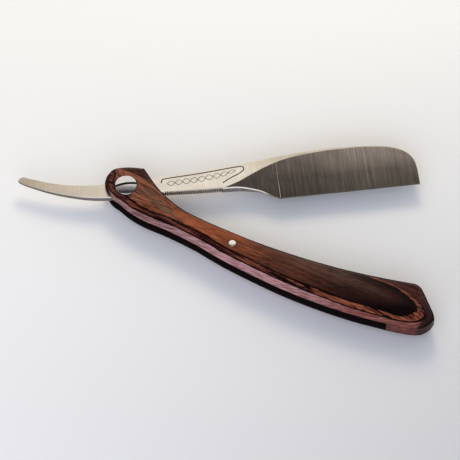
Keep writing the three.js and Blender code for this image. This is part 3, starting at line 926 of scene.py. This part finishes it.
def panel_lines():
    """The blank panel's outline, open along the jimps, and a plain two-strand rope inside it."""
    lines = [groove(PANEL_PATH, *PANEL_GROOVE, 90)]
    x = np.linspace(*ROPE_ENDS, 8 * ROPE_TURNS + 1)
    for phase in (0, math.pi):
        turn = (x - x[0]) / (x[-1] - x[0]) * ROPE_TURNS * math.pi + phase
        middle = along(ROPE_LINE, x)
        swing = along(ROPE_SWING, x)
        strand = np.stack([x, middle + swing * np.sin(turn)], axis=1)
        lines.append(groove(strand, *ROPE_GROOVE, 24 * ROPE_TURNS))
    return lines


def make_blade():
    rings, ground, x = blade_rings()
    vertices, faces = loft(rings)
    columns = rings.shape[1]
    slots = np.zeros(len(faces), int)
    for i, (start, end) in enumerate(zip(x, x[1:])):
        if start >= GRIND_LINE[0][0] and end != RIDGE[2]:
            slots[i * columns:(i + 1) * columns] = ground
        # Painted shade: the belly's lowest face takes the darker steel, in the jimps only at each notch's
        # floor, and past the heel the edge's faces too
        in_jimps = JIMP_FIRST - JIMP_PITCH < start < JIMP_LAST
        notches_past = ((start + end) / 2 - JIMP_FIRST) / JIMP_PITCH
        if not in_jimps or math.cos(2 * math.pi * notches_past) > 0:
            slots[(i + 1) * columns - 1] = SHADED_BELLY_FACE
        if start >= HEEL_X:
            slots[[i * columns, (i + 1) * columns - 2]] = SHADED_BELLY_FACE
    piece = make_piece("blade_steel_body", in_row_frame(vertices), faces, FLATS, "blade_steel", ["blade"],
                       BLADE_SHARP, slots, (SHADED_GROUND, SHADED_BELLY))
    cut(piece, [rod(PIVOT_HOLE_RADIUS), *panel_lines()], BLADE_SHARP)
    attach(piece, "blade")
    return piece


# Stage

def make_camera():
    a, e = math.radians(VIEW_AZIMUTH), math.radians(VIEW_ELEVATION)
    back = Vector((math.sin(a) * math.cos(e), -math.cos(a) * math.cos(e), math.sin(e)))
    camera = bpy.data.objects.new("camera", bpy.data.cameras.new("camera"))
    camera.data.lens = LENS
    camera.data.clip_end = 20
    camera.location = (Vector(AIM) + back * VIEW_DISTANCE) * SCALE
    camera.rotation_euler = (-back).to_track_quat("-Z", "Y").to_euler()
    bpy.context.scene.collection.objects.link(camera)
    bpy.context.scene.camera = camera


def make_light(name, azimuth, elevation, distance, size, power, colour):
    """A square softbox that looks at the razor and doesn't show in it. Azimuth is counted from the camera's
    side, anticlockwise from above."""
    a, e = math.radians(VIEW_AZIMUTH + azimuth), math.radians(elevation)
    back = Vector((math.sin(a) * math.cos(e), -math.cos(a) * math.cos(e), math.sin(e)))
    data = bpy.data.lights.new(name, "AREA")
    data.size = size
    data.energy = power
    data.color = colour
    light = bpy.data.objects.new(name, data)
    light.location = Vector(AIM) * SCALE + back * distance
    light.rotation_euler = (-back).to_track_quat("-Z", "Y").to_euler()
    light.visible_glossy = False
    bpy.context.scene.collection.objects.link(light)


def make_stage():
    mesh = bpy.data.meshes.new("table_top")
    corners = [(-1, -1), (1, -1), (1, 1), (-1, 1)]
    mesh.from_pydata([(x * FLOOR_HALF, y * FLOOR_HALF, 0) for x, y in corners], [], [[0, 1, 2, 3]])
    mesh.materials.append(table_top("table_top"))
    floor = bpy.data.objects.new("table_top", mesh)
    floor.location.z = -FLOOR_DROP
    bpy.context.scene.collection.objects.link(floor)
    make_studio()


def make_studio():
    """A dim room for the metal to mirror, paler low down all round, with bright walls behind the razor and in
    front of it. A warm softbox throws the shadows, and a cool one fills them."""
    world = bpy.data.worlds.new("studio")
    world.use_nodes = True
    tree = world.node_tree
    a, e = math.radians(VIEW_AZIMUTH), math.radians(15)
    toward = tree.nodes.new("ShaderNodeVectorMath")
    toward.operation = "DOT_PRODUCT"
    toward.inputs[1].default_value = (-math.sin(a) * math.cos(e), math.cos(a) * math.cos(e), math.sin(e))
    place = tree.nodes.new("ShaderNodeTexCoord")
    shift = tree.nodes.new("ShaderNodeMapRange")
    shift.inputs["From Min"].default_value = -1
    walls = colour_ramp(tree, [(0.2, (1.3, 1.35, 1.5)), (0.32, (0.06, 0.065, 0.09)),
                               (0.54, (0.06, 0.056, 0.06)), (0.63, (0.25, 0.245, 0.25)),
                               (0.72, (0.38, 0.38, 0.38)), (0.83, (1.0, 0.975, 0.95))])
    height = tree.nodes.new("ShaderNodeSeparateXYZ")
    band = colour_ramp(tree, [(0.02, (0.58, 0.61, 0.72)), (0.28, (0.58, 0.61, 0.72)), (0.5, (0, 0, 0))])
    both = tree.nodes.new("ShaderNodeMix")
    both.data_type = "RGBA"
    both.blend_type = "LIGHTEN"
    both.inputs[0].default_value = 1
    tree.links.new(place.outputs["Generated"], toward.inputs[0])
    tree.links.new(place.outputs["Generated"], height.inputs[0])
    tree.links.new(toward.outputs["Value"], shift.inputs[0])
    tree.links.new(shift.outputs[0], walls.inputs[0])
    tree.links.new(height.outputs["Z"], band.inputs[0])
    tree.links.new(walls.outputs[0], both.inputs[6])
    tree.links.new(band.outputs[0], both.inputs[7])
    tree.links.new(both.outputs[2], tree.nodes["Background"].inputs["Color"])
    bpy.context.scene.world = world
    bpy.context.scene.view_settings.view_transform = "Standard"
    make_light("key", azimuth=176, elevation=42, distance=0.6, size=0.2, power=1.14, colour=(1.04, 0.9, 0.59))
    make_light("fill", azimuth=-20, elevation=50, distance=1.2, size=1.8, power=10.25,
               colour=(0.8, 0.87, 1.03))


make_camera()
make_stage()
make_scale("upper_scale", 1)
make_scale("lower_scale", -1)
make_wedge()
make_screw()
make_nut()
make_pin()
make_blade()
for washer in ("upper_thrust_washer", "lower_thrust_washer"):
    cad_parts[washer].data.materials.clear()
    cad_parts[washer].data.materials.append(BRASS)
